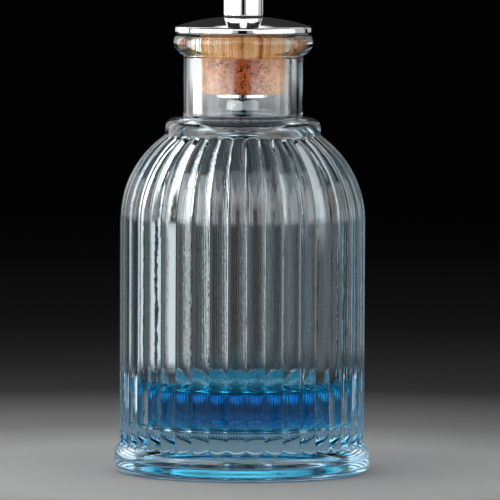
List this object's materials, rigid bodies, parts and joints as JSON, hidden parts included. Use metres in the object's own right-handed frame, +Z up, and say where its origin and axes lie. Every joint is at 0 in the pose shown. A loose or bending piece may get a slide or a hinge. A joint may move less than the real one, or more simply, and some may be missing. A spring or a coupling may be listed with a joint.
{
  "type": "bitters bottle",
  "caption": "Ribbed clear glass bitters bottle with a domed shoulder, a little blue liquid inside, and a cork stopper that carries a polished metal cap and dasher spout.",
  "frame": {"origin": "centre of the ring that the bottle stands on, at the level of the table", "axes": "+Z up along the bottle's axis towards the spout; -Y is the side that faces the viewer"},
  "size_m": [0.0576, 0.0574, 0.1394],
  "materials": {
    "clear_glass": "polished",
    "blue_bitters": "clear liquid",
    "natural_cork": "natural",
    "polished_metal": "mirror polished",
    "spout_metal": "mirror polished",
    "fastener_steel": "machined",
    "black_rubber": "matte"
  },
  "bodies": {
    "bottle": {"glass_bottle": "clear_glass", "bitters_fill": "blue_bitters"},
    "stopper": {"cork_stopper": "natural_cork", "cap_disc": "polished_metal", "spout_seal": "black_rubber", "retaining_washer": "polished_metal", "retaining_nut": "fastener_steel"},
    "spout": {"dasher_spout": "spout_metal"}
  },
  "joints": [
    {"name": "stopper_pull", "type": "slide", "parent": "bottle", "child": "stopper", "axis": [0, 0, 1], "range_m": [0, 0.04]},
    {"name": "spout_draw", "type": "slide", "parent": "stopper", "child": "spout", "axis": [0, 0, 1], "range_m": [0, 0.0225]}
  ]
}
